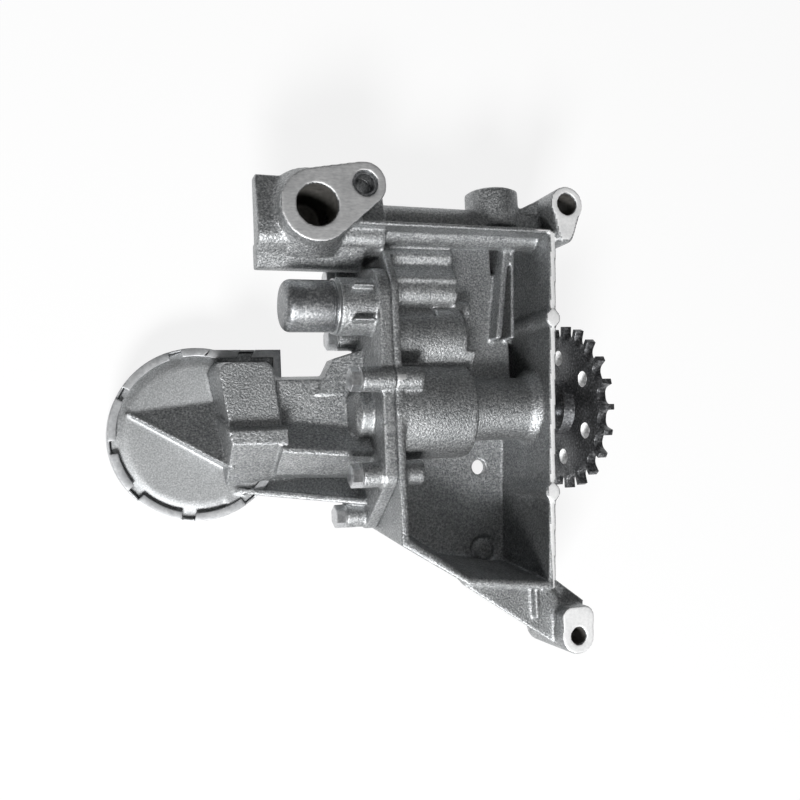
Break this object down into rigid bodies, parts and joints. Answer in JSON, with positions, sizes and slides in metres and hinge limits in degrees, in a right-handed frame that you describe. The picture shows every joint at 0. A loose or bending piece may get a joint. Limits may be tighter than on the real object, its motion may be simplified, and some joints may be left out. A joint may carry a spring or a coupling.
{
  "type": "engine oil pump",
  "caption": "Chain-driven engine oil pump with a lobed rotor set in a cast housing, a relief valve in the cover and a pickup arm to a round sheet strainer.",
  "frame": {"origin": "centre of the sprocket, on the drive shaft's axis and in the middle plane of the chain", "axes": "+X along the drive shaft, away from the pump; +Z square to the mounting faces, out of them; +Y from the tray towards the outlet"},
  "size_m": [0.1939, 0.1935, 0.0686],
  "materials": {
    "cast_aluminium": "sand-cast, fine grain",
    "strainer_sheet": "pressed sheet, zinc plated",
    "strainer_mesh": "woven",
    "valve_steel": "ground",
    "cap_steel": "turned, satin",
    "seal_washer": "soft, satin",
    "spring_steel": "drawn wire",
    "sintered_steel": "sintered and ground",
    "shaft_steel": "ground",
    "bearing_bronze": "satin",
    "sprocket_steel": "case hardened, dark",
    "screw_steel": "zinc plated",
    "sleeve_steel": "turned",
    "plug_steel": "pressed"
  },
  "bodies": {
    "pump_body": {"pump_housing": "cast_aluminium", "pump_cover": "cast_aluminium", "strainer_bowl": "strainer_sheet", "strainer_screen": "strainer_mesh", "relief_cap": "cap_steel", "relief_cap_seal": "seal_washer", "relief_spring": "spring_steel", "front_bush": "bearing_bronze", "rear_bush": "bearing_bronze", "outlet_sleeve": "sleeve_steel", "gallery_plug": "plug_steel", "cover_screws": "screw_steel", "cover_pins": "sleeve_steel"},
    "drive_rotor": {"drive_shaft": "shaft_steel", "inner_rotor": "sintered_steel", "rotor_pin": "valve_steel", "sprocket": "sprocket_steel", "sprocket_washer": "screw_steel", "sprocket_bolt": "screw_steel"},
    "outer_ring": {"outer_rotor": "sintered_steel"},
    "relief_plunger": {"relief_piston": "valve_steel"}
  },
  "joints": [
    {"name": "drive_spin", "type": "hinge", "parent": "pump_body", "child": "drive_rotor", "pos_m": [0, 0, 0], "axis": [1, 0, 0], "continuous": true},
    {"name": "outer_spin", "type": "hinge", "parent": "pump_body", "child": "outer_ring", "pos_m": [-0.07035, 0.0015, 0], "axis": [1, 0, 0], "continuous": true},
    {"name": "relief_slide", "type": "slide", "parent": "pump_body", "child": "relief_plunger", "axis": [-1, 0, 0], "range_m": [0, 0.0045], "stiffness_N_per_m": 300, "springref_m": -0.002, "deforming": ["relief_spring"]}
  ],
  "couplings": [
    {"joint": "outer_spin", "follows": "drive_spin", "ratio": 0.85714}
  ]
}
